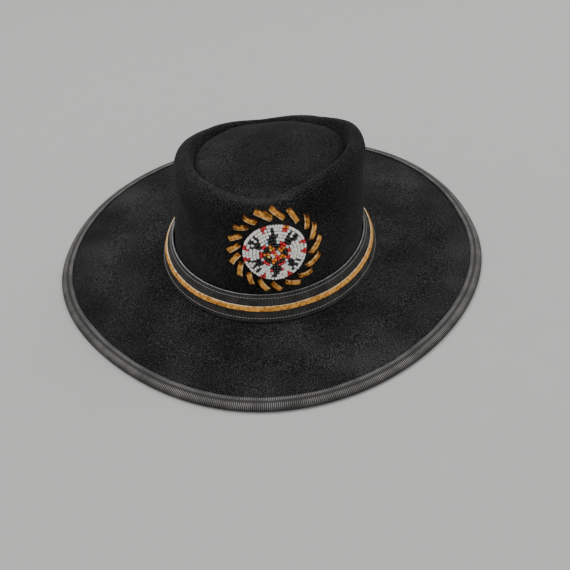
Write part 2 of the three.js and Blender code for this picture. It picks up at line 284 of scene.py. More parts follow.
@dataclass(frozen=True)
class RibbedRibbon:
    """Charcoal ribbon, painted darker between its ribs as painted shade and lighter on their tops as painted
    highlight.
    """

    name: str = "charcoal_ribbon"
    # the valley and ridge colours are painted shade between the ribs and painted highlight on their tops
    rib_valley_shade: Row = (0.0035, 0.0034, 0.0034)
    middle: Row = (0.028, 0.027, 0.0265)
    rib_top_highlight: Row = (0.23, 0.222, 0.216)
    tone_places: Row = (0.2, 0.62, 1.0)
    fuzz_scale: float = 2600.0
    fuzz_share: float = 0.25
    wear_scale: float = 60.0
    least_wear: float = 0.45

    def make(self) -> Material:
        """Returns the material. The ribs' painted highlight and shade, with the painted shade across the
        ribbon's section, are painted on the mesh for it to read.
        """
        recipe = Recipe(self.name)
        fuzz = recipe.grain(self.fuzz_scale, 2.0)
        wear = recipe.maths("ADD", recipe.grain(self.wear_scale), self.least_wear)
        # the painted rib light and shade, varied by a random noise
        rib = recipe.maths("MULTIPLY", recipe.painted("rib_height"), wear)
        fuzz_and_rib_shade = recipe.maths("ADD", rib, recipe.maths("MULTIPLY", fuzz, self.fuzz_share))
        colour = recipe.ramp(fuzz_and_rib_shade, self.tone_places, (self.rib_valley_shade, self.middle, self.rib_top_highlight))
        recipe.bump(fuzz, 0.6, 0.0003)
        values = {"Base Color": colour, "Roughness": 0.6, "Specular IOR Level": 0.3}
        return recipe.finish({**values, "Sheen Weight": 0.05, "Sheen Roughness": 0.4})


@dataclass(frozen=True)
class GrainLeather:
    """Black leather with a fine grain."""

    name: str
    dark: Row
    light: Row
    roughness: float
    tone_places: Row = (0.36, 0.74)
    grain_scale: float = 1100.0
    patch_scale: float = 90.0
    patch_gloss: float = 0.3

    def make(self) -> Material:
        """Returns the material."""
        recipe = Recipe(self.name)
        pebble = recipe.grain(self.grain_scale, 3.0, 0.7)
        patch = recipe.grain(self.patch_scale, 3.0, 0.5)
        worn = recipe.maths("MULTIPLY", pebble, recipe.maths("ADD", patch, 0.5))
        colour = recipe.ramp(worn, self.tone_places, (self.dark, self.light))
        recipe.bump(pebble, 0.5, 0.0004)
        uneven = recipe.maths("MULTIPLY", patch, self.patch_gloss)
        rough = recipe.maths("ADD", uneven, self.roughness - self.patch_gloss / 2)
        return recipe.finish({"Base Color": colour, "Roughness": rough, "Specular IOR Level": 0.3})


@dataclass(frozen=True)
class LaceSuede:
    """Golden tan suede lace, or its paler cut edge, which is partly the cut edge's own colour and partly a
    painted highlight.
    """

    name: str
    dark: Row
    middle: Row
    light: Row
    tone_places: Row = (0.5, 0.72, 0.96)
    fibre_scale: float = 900.0
    patch_scale: float = 330.0
    # how much the fibres, the patches and the painted tone count, and what is taken off their sum
    weights: Row = (0.8, 1.2, 0.6)
    deepen: float = 0.62

    def make(self) -> Material:
        """Returns the material. How light each part of the lace is, is painted on the mesh as tone: the
        lace's own tone, less the painted shade at its lower edge or at the ends and sides of its stitches.
        """
        recipe = Recipe(self.name)
        fibre = recipe.grain(self.fibre_scale, 3.0, 0.65)
        patch = recipe.grain(self.patch_scale)
        summed = recipe.weigh(*zip((fibre, patch, recipe.painted("tone")), self.weights))
        shade = recipe.maths("SUBTRACT", summed, self.deepen)
        colour = recipe.ramp(shade, self.tone_places, (self.dark, self.middle, self.light))
        recipe.bump(fibre, 0.6, 0.0004)
        values = {"Base Color": colour, "Roughness": 0.95, "Specular IOR Level": 0.2}
        sheen = {"Sheen Weight": 0.04, "Sheen Roughness": 0.5, "Sheen Tint": (1.0, 0.8, 0.55, 1.0)}
        return recipe.finish({**values, **sheen})


@dataclass(frozen=True)
class Thread:
    """Waxed sewing thread."""

    name: str
    colour: Row
    groove: float = 0.45
    ply_scale: float = 3000.0

    def make(self) -> Material:
        """Returns the material."""
        recipe = Recipe(self.name)
        ply = recipe.grain(self.ply_scale, 2.0)
        deep = tuple(self.groove * channel for channel in self.colour)
        colour = recipe.ramp(ply, (0.3, 0.7), (deep, self.colour))
        recipe.bump(ply, 0.4, 0.0002)
        return recipe.finish({"Base Color": colour, "Roughness": 0.6, "Specular IOR Level": 0.4})


@dataclass(frozen=True)
class SeedGlass:
    """Glossy opaque glass of one colour."""

    colour: BeadColour
    cool: Row = (0.88, 0.93, 0.97)
    warm: Row = (1.0, 0.98, 0.88)
    tone_places: Row = (0.0, 0.35, 0.7, 1.0)

    def make(self) -> Material:
        """Returns the material. Which beads are cooler or warmer is painted on the mesh as bead_shade."""
        recipe = Recipe(f"bead_{self.colour.name.lower()}")
        own = self.colour.value
        cool, warm = (tuple(np.multiply(own, tint)) for tint in (self.cool, self.warm))
        colour = recipe.ramp(recipe.painted("bead_shade"), self.tone_places, (cool, own, own, warm))
        values = {"Base Color": colour, "Roughness": 0.2, "Specular IOR Level": 0.6}
        return recipe.finish({**values, "Coat Weight": 0.35, "Coat Roughness": 0.08})


@dataclass(frozen=True)
class PaleFloor:
    """A plain pale studio floor."""

    colour: Row = (0.44, 0.44, 0.435)
    fleck_depth: float = 0.97
    fleck_scale: float = 40.0

    def make(self) -> Material:
        """Returns the material."""
        recipe = Recipe("pale_floor")
        deep = tuple(self.fleck_depth * channel for channel in self.colour)
        colour = recipe.ramp(recipe.grain(self.fleck_scale, 4.0), (0.3, 0.7), (deep, self.colour))
        return recipe.finish({"Base Color": colour, "Roughness": 0.85, "Specular IOR Level": 0.2})


@dataclass
class MeshDraft:
    """Points in millimetres and four-cornered or three-cornered faces, ready to become an object."""

    points: np.ndarray
    faces: list[np.ndarray]
    materials: list[np.ndarray] = field(default_factory=list)

    def build(self, name: str, finishes: list[Material], slot: str) -> Piece:
        """Makes the object and gives it its finishes.

        Args:
            name: The object's name.
            finishes: Its materials, in the order of the material numbers.
            slot: The record's material slot. Not used.

        Returns:
            The new object, smooth shaded and riding on the hat.
        """
        mesh = bpy.data.meshes.new(name)
        rows = [face for group in self.faces for face in group.tolist()]
        mesh.from_pydata((self.points * MM).tolist(), [], rows)
        mesh.polygons.foreach_set("use_smooth", [True] * len(mesh.polygons))
        if self.materials:
            mesh.polygons.foreach_set("material_index", np.concatenate(self.materials).astype(np.int32))
        for finish in finishes:
            mesh.materials.append(finish)
        mesh.validate()
        piece = bpy.data.objects.new(name, mesh)
        bpy.context.scene.collection.objects.link(piece)
        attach(piece, "root")
        log.info("%s: %d faces", name, len(mesh.polygons))
        return piece


def monotone_curve(knots: np.ndarray, values: np.ndarray, counts: list[int]) -> np.ndarray:
    """Runs smooth curves through values, without passing beyond any of them.

    Args:
        knots: Where the values stand along each curve, with shape (curves, values).
        values: The values, with shape (curves, values, columns).
        counts: How many steps each stretch between two values takes.

    Returns:
        The curves, with shape (curves, steps + 1, columns).
    """
    span = np.diff(knots, axis=1)[..., None]
    slope = np.diff(values, axis=1) / span
    before, after = slope[:, :-1], slope[:, 1:]
    near, far = 2 * span[:, 1:] + span[:, :-1], span[:, 1:] + 2 * span[:, :-1]
    same = before * after > 0
    mean = (near + far) / (near / np.where(same, before, 1.0) + far / np.where(same, after, 1.0))
    tangent = np.concatenate([slope[:, :1], np.where(same, mean, 0.0), slope[:, -1:]], axis=1)
    pieces = []
    for i, count in enumerate(counts):
        t = (np.arange(count) / count)[None, :, None]
        low, high = values[:, i : i + 1], values[:, i + 1 : i + 2]
        leave, arrive = (tangent[:, end : end + 1] * span[:, i : i + 1] for end in (i, i + 1))
        cubic = 2 * t**3 - 3 * t**2
        level = (cubic + 1) * low - cubic * high
        pieces.append(level + (t**3 - 2 * t**2 + t) * leave + (t**3 - t**2) * arrive)
    return np.concatenate([*pieces, values[:, -1:]], axis=1)


def arc_length(points: np.ndarray) -> np.ndarray:
    """Returns how far along each line of points each point stands, along the axis before the last."""
    steps = np.linalg.norm(np.diff(points, axis=-2), axis=-1)
    start = np.zeros((*steps.shape[:-1], 1))
    return np.concatenate([start, np.cumsum(steps, axis=-1)], axis=-1)


def unit(vectors: np.ndarray) -> np.ndarray:
    """Returns the vectors, each one long."""
    return vectors / np.linalg.norm(vectors, axis=-1, keepdims=True)


def turns(steps: int) -> np.ndarray:
    """Returns evenly spaced angles all the way round."""
    return 2 * np.pi * np.arange(steps) / steps


def ring_faces(around: int, across: int, closed: bool) -> np.ndarray:
    """Joins a loop of sections.

    Args:
        around: How many sections there are.
        across: How many points each section has.
        closed: Whether each section is itself a loop.

    Returns:
        The faces, each with four point numbers, in rows by section.
    """
    section, point = np.arange(around)[:, None], np.arange(across if closed else across - 1)[None, :]
    here, ahead, beside = section * across, (section + 1) % around * across, (point + 1) % across
    return np.stack([here + point, ahead + point, ahead + beside, here + beside], axis=-1).reshape(-1, 4)


def strip_faces(along: int, across: int) -> np.ndarray:
    """Joins an open run of closed sections.

    Args:
        along: How many sections there are.
        across: How many points each section has.

    Returns:
        The faces, each with four point numbers.
    """
    return ring_faces(along, across, True)[: (along - 1) * across]


def capped_faces(around: int, across: int, flipped: bool) -> list[np.ndarray]:
    """Joins a loop of open sections and closes both of its ends, each with one further point.

    Args:
        around: How many sections there are.
        across: How many points each section has.
        flipped: Whether the faces go round the other way.

    Returns:
        The faces of the loop, of its first end and of its last end.
    """
    quads = ring_faces(around, across, False)
    second = np.arange(around) * across
    first = np.roll(second, -1)
    if flipped:
        quads, first, second = quads[:, ::-1], second, first
    middle, last = np.full(around, around * across), across - 1
    start = np.stack([middle, first, second], axis=1)
    end = np.stack([middle + 1, second + last, first + last], axis=1)
    return [quads, start, end]


def surface_normals(grid: np.ndarray) -> np.ndarray:
    """Finds the normals of a grid of points that closes on itself along its first axis.

    Args:
        grid: The points, with shape (around, across, 3).

    Returns:
        The normals, which point to the left of the second axis as the first one is followed.
    """
    around = np.roll(grid, -1, axis=0) - np.roll(grid, 1, axis=0)
    across = np.gradient(grid, axis=1)
    return unit(np.cross(around, across))


def blend_in(value: np.ndarray, low: float, high: float) -> np.ndarray:
    """Returns 0 up to low, 1 from high, and eases from one to the other."""
    share = np.clip((value - low) / (high - low), 0.0, 1.0)
    return share * share * (3 - 2 * share)


def rounded_loop(corners: list[Row], rounding: float, steps: int) -> np.ndarray:
    """Rounds the corners of a flat loop.

    Args:
        corners: The loop's corners.
        rounding: How far back from a corner its curve starts.
        steps: How many points each corner gets.

    Returns:
        The points of the rounded loop.
    """
    points = np.array(corners, float)
    before, after = np.roll(points, 1, axis=0), np.roll(points, -1, axis=0)
    result = []
    for corner, last, following in zip(points, before, after):
        reach = [min(rounding / np.linalg.norm(other - corner), 0.45) for other in (last, following)]
        start, end = corner + (last - corner) * reach[0], corner + (following - corner) * reach[1]
        for t in np.linspace(0.0, 1.0, steps):
            result.append((1 - t) ** 2 * start + 2 * t * (1 - t) * corner + t * t * end)
    return np.array(result)


@dataclass(frozen=True)
class Unevenness:
    """A smooth uneven rise and fall: its height, how wide a hump is, and which of many it is."""

    height: float
    size: float
    seed: float

    def at(self, points: np.ndarray) -> np.ndarray:
        """Returns how far it rises or falls at each point, in millimetres."""
        flat = (points.reshape(-1, 3) / self.size + self.seed).tolist()
        values = np.array([noise.noise(Vector(point)) for point in flat])
        return self.height * values.reshape(points.shape[:-1])


def paint(piece: Piece, name: str, values: np.ndarray) -> None:
    """Paints one number on each of a piece's points, for its finish to read.

    Args:
        piece: The piece.
        name: What the finish calls the number.
        values: The numbers.
    """
    layer = piece.data.attributes.new(name, "FLOAT", "POINT")
    layer.data.foreach_set("value", np.asarray(values, np.float32).ravel())


def repeated(copies: np.ndarray, faces: list[np.ndarray]) -> MeshDraft:
    """Puts copies of one small mesh together.

    Args:
        copies: The points of each copy, with shape (copies, points, 3).
        faces: The faces of one copy.

    Returns:
        All the copies as one draft.
    """
    count, size = copies.shape[:2]
    offset = (np.arange(count) * size)[:, None, None]
    numbers = [(group[None] + offset).reshape(-1, group.shape[1]) for group in faces]
    return MeshDraft(copies.reshape(-1, 3), numbers)


@dataclass(frozen=True)
class Seam:
    """A row of short arched stitches: how far apart they start, how long and how thick they are."""

    pitch: float
    length: float
    radius: float
    thickness: Row = (0.45, 0.95, 1.0, 0.95, 0.45)
    sides: int = 6
    arch: float = 1.1
    sunk: float = 0.35

    def sew(self, line: np.ndarray, out: np.ndarray) -> MeshDraft:
        """Lays the stitches along a closed line.

        Args:
            line: The line's points.
            out: The way out of the cloth, one for all or one for each point.

        Returns:
            The stitches.
        """
        closed, outs = (np.concatenate([path, path[:1]]) for path in (line, np.broadcast_to(out, line.shape)))
        far = arc_length(closed)
        count = int(far[-1] / self.pitch)
        share = np.linspace(0.0, 1.0, len(self.thickness))
        at = (np.arange(count) * far[-1] / count)[:, None] + share * self.length
        centre = np.stack([np.interp(at, far, column) for column in closed.T], axis=-1)
        rise = np.stack([np.interp(at, far, column) for column in outs.T], axis=-1)
        arch = (np.sin(np.pi * share) * self.arch - self.sunk) * self.radius
        centre = centre + rise * arch[None, :, None]
        along = unit(np.gradient(centre, axis=1))
        side = unit(np.cross(along, rise))
        turn = np.radians(np.arange(self.sides) * 360 / self.sides)[:, None]
        ring = side[:, :, None] * np.cos(turn) + np.cross(side, along)[:, :, None] * np.sin(turn)
        thick = self.radius * np.array(self.thickness)
        points = centre[:, :, None] + ring * thick[None, :, None, None]
        return repeated(points.reshape(count, -1, 3), [strip_faces(len(share), self.sides)])


@dataclass(frozen=True)
class HeadOval:
    """The oval of the crown's wall, seen from above."""

    half_width: float = 84.25
    half_depth: float = 101.0
    back: float = 1.8

    def normals(self, angles: np.ndarray) -> np.ndarray:
        """Returns the level directions straight out of the oval at angles round it."""
        across, along = self.half_depth * np.cos(angles), self.half_width * np.sin(angles)
        return unit(np.stack([across, along, np.zeros_like(angles)], axis=-1))

    def points(self, angles: np.ndarray, outset: np.ndarray, height: np.ndarray) -> np.ndarray:
        """Finds points beside the oval.

        Args:
            angles: Angles round it, from +X by way of the back.
            outset: How far out from the oval each point is.
            height: How high above the ground each point is.

        Returns:
            The points, in the frame's axes.
        """
        across, along = self.half_width * np.cos(angles), self.half_depth * np.sin(angles) + self.back
        foot = np.stack([across, along, np.broadcast_to(height, angles.shape)], axis=-1)
        return foot + self.normals(angles) * np.asarray(outset)[..., None]


@dataclass
class Crown:
    """The crown: a wall on an oval foot, a rolled rim and a sunken flat top."""

    oval: HeadOval
    suede: float = 2.0
    seat: float = 6.0
    height: float = 106.0
    lean: float = 12.0
    foot_flare: float = 8.0
    foot_height: float = 15.0
    rim_width: float = 13.5
    rim_height: float = 34.0
    rim_least: float = 0.5
    rim_bulge: float = 4.0
    groove: float = 5.2
    top_middle: float = 0.905
    # how much wider the rim's inner side is at the front, from which share of the rim, and where the front is
    soft_lip: float = 4.6
    lip_start: float = 0.45
    front: Row = (0.6, 0.95)
    # angle, height, length round, width, depth and slant of the crease in the wall
    crease: Row = (190.0, 66.0, 17.0, 3.2, 2.6, 6.0)
    # angle, length, width, depth and waves of the fold on the top
    fold: Row = (300.0, 22.0, 9.0, 1.3, 3.0)
    # where the fold starts, in shares of the oval, and which way it runs
    fold_start: Row = (0.62, -0.52, 0.0)
    fold_run: Row = (0.86, 0.5, 0.0)
    swell: Unevenness = Unevenness(0.7, 38.0, 3.1)
    ripple: Unevenness = Unevenness(0.16, 9.0, 7.7)
    swell_start: float = 20.0
    slope_reach: float = 4.0
    steps: int = 480
    # level, up, flare, lean, bulge and rim of each line, from the foot's edge to the flat top's edge
    lines: tuple[tuple[str, float, float, float, float, float], ...] = (
        ("foot", 0.0, 1.0, 0.0, 0.0, 0.0),
        ("foot", 0.1, 0.45, 0.0, 0.0, 0.0),
        ("foot", 0.42, 0.1, 0.0, 0.0, 0.0),
        ("wall", 0.0, 0.0, 0.0, 0.0, 0.0),
        ("wall", 0.5, 0.0, 0.36, 0.45, 0.0),
        ("wall", 1.0, 0.0, 0.72, 0.15, 0.0),
        ("rim", 0.25, 0.0, 0.8, 0.7, 0.0),
        ("rim", 0.55, 0.0, 0.89, 1.0, 0.0),
        ("rim", 0.82, 0.0, 0.97, 0.8, 0.1),
        ("rim", 0.96, 0.0, 1.0, 0.3, 0.25),
        ("rim", 1.0, 0.0, 1.0, 0.0, 0.45),
        ("inside", 0.12, 0.0, 1.0, 0.0, 0.7),
        ("inside", 0.6, 0.0, 1.0, 0.0, 0.86),
        ("inside", 1.0, 0.0, 1.0, 0.0, 0.97),
        ("plateau", 0.6, 0.0, 1.0, 0.0, 1.13),
        ("plateau", 1.0, 0.0, 1.0, 0.0, 1.4),
    )
    line_steps: tuple[int, ...] = (3, 3, 3, 8, 8, 5, 5, 4, 4, 4, 4, 4, 4, 4, 4, 8, 8, 8)
    # how many of the stretches between lines belong to the foot, to the foot and wall, and to all but the top
    foot_lines: int = 3
    wall_lines: int = 8
    rim_lines: int = 13
    rings: Row = (0.75, 0.45, 0.18)
    # at, crest, plateau, lean and roll at angles from the hat's left side, round by its back
    rim: tuple[Row, ...] = (
        (0, 1.0, 0.92, 0.0, 1.0),
        (45, 0.86, 0.84, 0.7, 0.8),
        (90, 0.79, 0.785, 1.5, 0.2),
        (135, 0.865, 0.84, 1.5, 0.8),
        (180, 0.97, 0.9, 1.25, 1.0),
        (225, 0.99, 0.9, 1.0, 0.8),
        (248, 0.95, 0.88, 0.6, 0.2),
        (272, 0.935, 0.87, 0.45, 0.1),
        (294, 0.98, 0.89, 0.45, 0.2),
        (317, 1.02, 0.92, 0.4, 0.8),
    )

    def rim_values(self, angles: np.ndarray) -> list[np.ndarray]:
        """Finds the rim's sizes at angles round the crown.

        Args:
            angles: The angles, in radians.

        Returns:
            The crest, plateau, lean and roll at each angle.
        """
        rows = np.array(self.rim)
        rows = np.concatenate([rows[-2:] - [360, 0, 0, 0, 0], rows, rows[:3] + [360, 0, 0, 0, 0]])
        counts = [int(round(step)) for step in np.diff(rows[:, 0])]
        fine = monotone_curve(rows[None, :, 0], rows[None, :, 1:], counts)[0]
        at = rows[0, 0] + np.arange(len(fine))
        degrees = np.degrees(angles) % 360
        return [np.interp(degrees, at, column) for column in fine.T]

    def profiles(self, angles: np.ndarray) -> np.ndarray:
        """Finds the crown's outer face at angles round it.

        Args:
            angles: The angles, in radians.

        Returns:
            A line of points for each angle, from the foot's edge to near the middle.
        """
        crest, plateau, lean, roll = self.rim_values(angles)
        full = self.rim_least + (1 - self.rim_least) * roll
        crest, plateau, groove = self.height * crest, self.height * plateau, self.groove * roll
        neck = crest - self.rim_height * full
        front = blend_in(-np.sin(angles), *self.front)
        control = []
        for level, up, flare, inward, bulge, rim in self.lines:
            rim = rim + max(rim - self.lip_start, 0.0) * (self.soft_lip - 1) * front * (1 - roll)
            inset = inward * self.lean * lean - bulge * self.rim_bulge * roll + rim * self.rim_width * full
            height = {
                "foot": np.full_like(neck, self.suede + up * (self.foot_height - self.suede)),
                "wall": self.foot_height + up * (neck - self.foot_height),
                "rim": neck + up * (crest - neck),
                "inside": crest + up * (plateau - groove - crest),
                "plateau": plateau - groove * (1 - up),
            }[level]
            control.append(self.oval.points(angles, flare * self.foot_flare - inset, self.seat + height))
        edge, middle = control[-1], np.array([0.0, self.oval.back])
        for share in self.rings:
            plan = middle + (edge[:, :2] - middle) * share
            lowest = self.top_middle * self.height
            height = self.seat + lowest + share**2 * (plateau - lowest)
            control.append(np.concatenate([plan, height[:, None]], axis=1))
        points = np.stack(control, axis=1)
        return monotone_curve(arc_length(points), points, list(self.line_steps))

    def face(self, angles: np.ndarray, along: np.ndarray) -> np.ndarray:
        """Finds points of the face by how far up it they are.

        Args:
            angles: Angles round the crown.
            along: Distances up the face from the wall's bottom.

        Returns:
            The points.
        """
        lines = self.profiles(angles)[:, sum(self.line_steps[: self.foot_lines]) :]
        lengths = arc_length(lines)
        found = [
            [np.interp(far, length, line[:, axis]) for axis in range(3)]
            for far, length, line in zip(along, lengths, lines)
        ]
        return np.array(found)

    def off_face(self, angles: np.ndarray, along: np.ndarray, out: np.ndarray) -> np.ndarray:
        """Finds points straight out from the face.

        Args:
            angles: Angles round the crown.
            along: Distances up the face from the wall's bottom.
            out: Distances out from the face.

        Returns:
            The points.
        """
        rise = self.face(angles, along + self.slope_reach) - self.face(angles, along - self.slope_reach)
        side = self.oval.normals(angles)
        outward = side * rise[:, 2:] - np.array([0, 0, 1.0]) * np.sum(rise * side, axis=1, keepdims=True)
        return self.face(angles, along) + unit(outward) * np.asarray(out)[:, None]

    def dents(self, angles: np.ndarray, outer: np.ndarray) -> np.ndarray:
        """Finds how deep the crease in the wall and the fold on the top are.

        Args:
            angles: The angles round the crown.
            outer: The face's points, in rows by angle.

        Returns:
            The depth at each point.
        """
        row = np.arange(outer.shape[1])
        at, height, length, width, depth, slant = self.crease
        round_it = (np.degrees(angles) - at)[:, None] / length
        over = (outer[..., 2] - (height + slant * round_it)) / width
        wall = row < sum(self.line_steps[: self.wall_lines])
        crease = depth * np.exp(-(over**2)) * np.exp(-(round_it**2)) * wall
        at, length, width, depth, waves = self.fold
        way = np.array([math.cos(math.radians(at)), math.sin(math.radians(at)), 0.0])
        start = np.array([self.oval.half_width, self.oval.half_depth, 0.0]) * self.fold_start
        along, across = (outer - start) @ np.array(self.fold_run) / length, (outer - start) @ way / width
        top = row > sum(self.line_steps[: self.rim_lines])
        fold = depth * np.exp(-(along**2)) * np.exp(-(across**2)) * np.sin(across * waves)
        return crease + fold * top

    def build(self, suede: Material) -> Piece:
        """Makes the crown's shell.

        Args:
            suede: Its finish.

        Returns:
            The crown.
        """
        angles = turns(self.steps)
        outer = self.profiles(angles)
        normals = surface_normals(outer)
        free = blend_in(outer[..., 2] - self.seat, self.foot_height, self.foot_height + self.swell_start)
        uneven = (self.swell.at(outer) + self.ripple.at(outer)) * free
        outer = outer + normals * (uneven - self.dents(angles, outer))[..., None]
        inner = outer - surface_normals(outer) * self.suede
        inner[:, 0] = outer[:, 0] - [0, 0, self.suede]
        grid = np.concatenate([outer[:, ::-1], inner], axis=1)
        middles = np.array([outer[:, -1].mean(axis=0), inner[:, -1].mean(axis=0)])
        points = np.concatenate([grid.reshape(-1, 3), middles])
        draft = MeshDraft(points, capped_faces(self.steps, grid.shape[1], False))
        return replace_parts(draft.build("crown_suede", [suede], "black_suede"), "crown")


@dataclass
class Brim:
    """The wide flat brim, from inside the crown's foot to its edge, and the ribbon bound over the edge."""

    oval: HeadOval
    suede: float = 3.0
    edge_middle: float = 2.7
    droop: float = 1.5
    side: float = 104.5
    front: float = 102.6
    rear: float = 99.0
    diagonals: Row = (1.029, 1.015, 0.962, 0.98)
    band_reach: float = 13.0
    opening: float = 2.0
    # how far in from the edge the outermost lines run, and how thick the brim is there
    edge_lines: Row = (5.0, 3.0, 1.0, 0.0)
    edge_thickness: Row = (0.8, 0.33, 0.1)
    # between which shares of the brim its unevenness comes in and goes out
    uneven_from: Row = (0.05, 0.25)
    uneven_to: Row = (0.7, 0.9)
    swell: Unevenness = Unevenness(0.5, 55.0, 11.3)
    ripple: Unevenness = Unevenness(0.12, 12.0, 5.9)
    steps: int = 720
    slopes: int = 44
    lower_step: int = 4
    ribbon_width: float = 9.0
    rib_pitch: float = 1.45
    rib_depth: float = 0.2
    rib_points: int = 4
    # how far in from the edge the ribbon lies looser, and how uneven it is there, sideways and upwards
    loose: Row = (3.0, 9.0)
    sideways: Unevenness = Unevenness(0.35, 17.0, 4.4)
    upwards: Unevenness = Unevenness(0.3, 23.0, 9.2)
    rib_middle: float = -4.0
    seam: Seam = Seam(2.9, 1.3, 0.2)
    seam_inset: float = 7.0
    seam_height: float = 2.9
    # each point of the ribbon's section: how far it is out from the edge, its height from the brim's middle,
    # how much of a rib's depth shows there, how light it is painted (lower values are painted shade in the
    # dip at the stitch line, round the fold of the edge and under the ribbon) and how far its ribs are
    # shifted
    section: tuple[Row, ...] = (
        (-9.0, 2.05, 0.0, 0.2, 0.0),
        (-9.1, 2.55, 0.3, 0.6, 0.0),
        (-8.9, 2.95, 0.8, 0.95, 0.0),
        (-7.6, 2.97, 1.0, 1.0, 0.0),
        (-6.2, 2.9, 1.0, 0.95, 0.0),
        (-5.2, 2.78, 0.7, 0.5, 0.25),
        (-4.4, 2.62, 0.8, 0.62, 0.5),
        (-3.2, 2.32, 1.0, 1.0, 0.5),
        (-2.0, 1.95, 1.0, 1.0, 0.5),
        (-0.9, 1.45, 1.0, 0.9, 0.5),
        (0.15, 0.75, 1.0, 0.8, 0.5),
        (0.85, -0.2, 1.0, 0.7, 0.5),
        (1.05, -1.2, 1.0, 0.55, 0.5),
        (0.6, -2.15, 0.7, 0.4, 0.5),
        (-0.5, -2.7, 0.0, 0.3, 0.0),
        (-4.5, -2.7, 0.0, 0.3, 0.0),
        (-9.0, -2.7, 0.0, 0.3, 0.0),
        (-9.0, -1.8, 0.0, 0.2, 0.0),
        (-4.0, -1.8, 0.0, 0.2, 0.0),
        (-0.6, -0.7, 0.0, 0.2, 0.0),
        (-0.6, 0.35, 0.0, 0.2, 0.0),
        (-3.0, 1.4, 0.0, 0.2, 0.0),
        (-5.0, 1.85, 0.0, 0.2, 0.0),
    )

    def edge(self, angles: np.ndarray) -> np.ndarray:
        """Returns the points of the brim's outline at angles round it, on its middle height."""
        reach = np.where(np.sin(angles) < 0, self.front, self.rear)
        quarter = np.floor(np.degrees(angles) % 360 / 90).astype(int)
        drawn = 1 + (np.array(self.diagonals)[quarter] - 1) * np.sin(2 * angles) ** 2
        across = drawn * (self.oval.half_width + self.side) * np.cos(angles)
        along = drawn * (self.oval.half_depth + reach) * np.sin(angles) + self.oval.back
        return np.stack([across, along, np.full_like(angles, self.edge_middle)], axis=-1)

    def middles(self, angles: np.ndarray) -> np.ndarray:
        """Finds the brim's middle face.

        Args:
            angles: Angles round the brim.

        Returns:
            A line of points for each angle, from the opening to the edge.
        """
        seat = self.oval.points(angles, np.full_like(angles, self.band_reach), np.zeros_like(angles))
        edge = self.edge(angles)
        bound = self.ribbon_width / np.linalg.norm((edge - seat)[:, :2], axis=1)
        top = self.edge_middle + self.droop
        lines = [self.oval.points(angles, np.full_like(angles, -self.opening), np.full_like(angles, top))]
        lines.append(0.5 * lines[0] + 0.5 * seat * [1, 1, 0] + [0, 0, 0.5 * top])
        for share in np.linspace(0.0, 1.0, self.slopes):
            point = seat + (edge - seat) * (share * (1 - bound))[:, None]
            point[:, 2] = top - self.droop * blend_in(np.array(share), 0.0, 1.0)
            lines.append(point)
        for inset in self.edge_lines:
            lines.append(edge + (lines[self.slopes + 1] - edge) * (inset / self.ribbon_width))
        grid = np.stack(lines, axis=1)
        share = np.linspace(0.0, 1.0, grid.shape[1])
        free = blend_in(share, *self.uneven_from) * (1 - blend_in(share, *self.uneven_to))
        grid[..., 2] += free * (self.swell.at(grid) + self.ripple.at(grid))
        return grid

    def build(self, suede: Material) -> Piece:
        """Makes the brim.

        Args:
            suede: Its finish.

        Returns:
            The brim.
        """
        angles = turns(self.steps)
        grid = self.middles(angles)
        half = np.full(grid.shape[1], self.suede / 2)
        half[-len(self.edge_thickness) :] *= self.edge_thickness
        lift = half[:, None] * [0, 0, 1.0]
        sloped = self.slopes + 2
        kept = [0, *range(3, sloped, self.lower_step), *range(sloped, grid.shape[1])]
        section = np.concatenate([grid + lift, (grid - lift)[:, kept][:, ::-1]], axis=1)
        draft = MeshDraft(section.reshape(-1, 3), [ring_faces(self.steps, section.shape[1], True)])
        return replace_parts(draft.build("brim_suede", [suede], "black_suede"), "brim")

    def bind(self, finish: Material, thread: Material) -> list[Piece]:
        """Makes the ribbed ribbon and the row of stitches that holds it.

        Args:
            finish: The ribbon's finish.
            thread: The stitches' finish.

        Returns:
            The ribbon and its stitches.
        """
        coarse = 2 * np.pi * np.arange(self.steps + 1) / self.steps
        length = arc_length(self.edge(coarse))
        count = int(round(length[-1] / self.rib_pitch)) * self.rib_points
        angles = np.interp(np.arange(count) / count * length[-1], length, coarse)
        edge = self.edge(angles)
        outward = unit(np.cross(np.roll(edge, -1, axis=0) - np.roll(edge, 1, axis=0), [0, 0, 1.0]))
        out, high, depth, light, shift = np.array(self.section).T
        rib = 0.5 + 0.5 * np.cos(2 * np.pi * (np.arange(count)[:, None] / self.rib_points + shift))
        sunk = depth * self.rib_depth * (rib - 1)
        lean = np.abs(unit(np.stack([np.gradient(high), -np.gradient(out)], axis=-1)))
        loose = blend_in(-out, *self.loose) * (high > 0)
        ground = edge * [1, 1, 0]
        waves, lift = (uneven.at(ground)[:, None] * loose for uneven in (self.sideways, self.upwards))
        spread = out + sunk * lean[:, 0] * np.sign(out - self.rib_middle) + waves
        points = edge[:, None] + outward[:, None] * spread[..., None]
        rise = high + sunk * lean[:, 1] * np.sign(high) + lift
        points[..., 2] = np.maximum(edge[:, None, 2] + rise, 0.0)
        draft = MeshDraft(points.reshape(-1, 3), [ring_faces(count, len(out), True)])
        ribbon = draft.build("brim_ribbon", [finish], "black_ribbon")
        # the rib pattern times the section's light column: painted highlight on the ribs' tops, painted shade
        # between them, in the dip at the stitch line and under the ribbon
        paint(ribbon, "rib_height", rib * light)
        row = edge - outward * self.seam_inset
        row[:, 2] = self.edge_middle + self.seam_height
        draft = self.seam.sew(row[::2], np.array([0, 0, 1.0]))
        stitches = draft.build("ribbon_stitches", [thread], "black_ribbon")
        for piece in (ribbon, stitches):
            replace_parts(piece, "brim_binding")
        return [ribbon, stitches]


